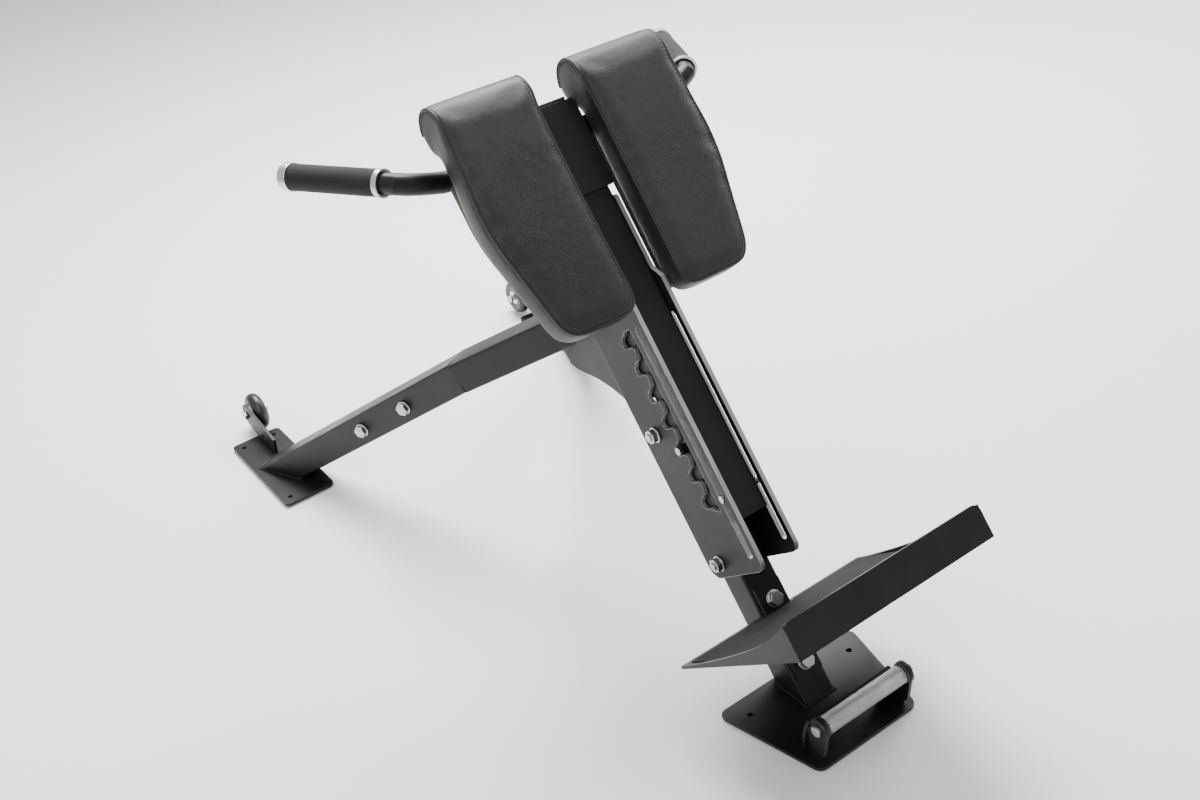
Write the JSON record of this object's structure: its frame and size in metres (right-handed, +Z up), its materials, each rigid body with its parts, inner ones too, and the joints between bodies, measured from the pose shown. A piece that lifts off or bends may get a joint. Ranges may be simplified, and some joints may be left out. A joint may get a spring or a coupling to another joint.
{
  "type": "roman chair",
  "caption": "Angled back-extension bench: splayed legs, sliding pad carriage on a notched spine, side handles, foot platform and transport wheels.",
  "frame": {"origin": "middle of the footprint, on the floor", "axes": "+X from the foot platform towards the front feet and wheels, +Y to the user's left, +Z up"},
  "size_m": [1.3396, 0.706, 0.7624],
  "materials": {
    "frame_black": "textured powder coat",
    "plate_grey": "semi-gloss with bare edges",
    "zinc": "zinc plated",
    "pin_steel": "bright ground",
    "knurled_steel": "knurled",
    "silver_cap": "satin",
    "bearing": "polished",
    "rubber_black": "matte",
    "wheel_black": "smooth",
    "foam_grip": "closed-cell foam",
    "pad_leather": "grained",
    "pad_board": "plywood",
    "tread": "gritty",
    "plug": "moulded"
  },
  "bodies": {
    "frame": {"side_plate_left": "plate_grey", "side_plate_right": "plate_grey", "spine_tube": "frame_black", "frame_bolt_upper": "zinc", "frame_bolt_lower": "zinc", "neck": "frame_black", "foot_platform": "frame_black", "tread_sheet": "tread", "platform_bolt_1": "zinc", "platform_bolt_2": "zinc", "base_plate": "frame_black", "base_foot_left": "rubber_black", "base_foot_right": "rubber_black", "lift_bracket": "frame_black", "lift_grip": "knurled_steel", "lift_washer_left": "plug", "lift_washer_right": "plug", "lift_bolt": "zinc", "leg_stub_left": "frame_black", "leg_left": "frame_black", "leg_sleeve_left": "frame_black", "leg_bolt_left_1": "zinc", "leg_bolt_left_2": "zinc", "foot_plate_left": "frame_black", "foot_pad_left": "rubber_black", "wheel_arm_left": "frame_black", "wheel_bolt_left": "zinc", "leg_stub_right": "frame_black", "leg_right": "frame_black", "leg_sleeve_right": "frame_black", "leg_bolt_right_1": "zinc", "leg_bolt_right_2": "zinc", "foot_plate_right": "frame_black", "foot_pad_right": "rubber_black", "wheel_arm_right": "frame_black", "wheel_bolt_right": "zinc"},
    "carriage": {"carriage_tube": "frame_black", "guide_pin": "pin_steel", "cap_plate": "frame_black", "tube_plug": "plug", "handle_bar": "frame_black", "pad_left": "pad_leather", "pad_board_left": "pad_board", "pad_bracket_left": "frame_black", "grip_collar_left": "silver_cap", "grip_left": "foam_grip", "grip_cap_left": "silver_cap", "pad_right": "pad_leather", "pad_board_right": "pad_board", "pad_bracket_right": "frame_black", "grip_collar_right": "silver_cap", "grip_right": "foam_grip", "grip_cap_right": "silver_cap"},
    "latch": {"latch_pin": "pin_steel"},
    "wheel_left": {"wheel_left": "wheel_black", "wheel_bearing_left": "bearing"},
    "wheel_right": {"wheel_right": "wheel_black", "wheel_bearing_right": "bearing"}
  },
  "joints": [
    {"name": "carriage_slide", "type": "slide", "parent": "frame", "child": "carriage", "axis": [0.6157, 0, 0.788], "range_m": [-0.0772, 0.1544]},
    {"name": "latch_lift", "type": "slide", "parent": "carriage", "child": "latch", "axis": [-0.788, 0, 0.6157], "range_m": [0, 0.023], "stiffness_N_per_m": 300, "springref_m": -0.02},
    {"name": "wheel_left_spin", "type": "hinge", "parent": "frame", "child": "wheel_left", "pos_m": [0.6358, 0.283, 0.039], "axis": [0, 1, 0], "continuous": true},
    {"name": "wheel_right_spin", "type": "hinge", "parent": "frame", "child": "wheel_right", "pos_m": [0.6358, -0.283, 0.039], "axis": [0, 1, 0], "continuous": true}
  ]
}
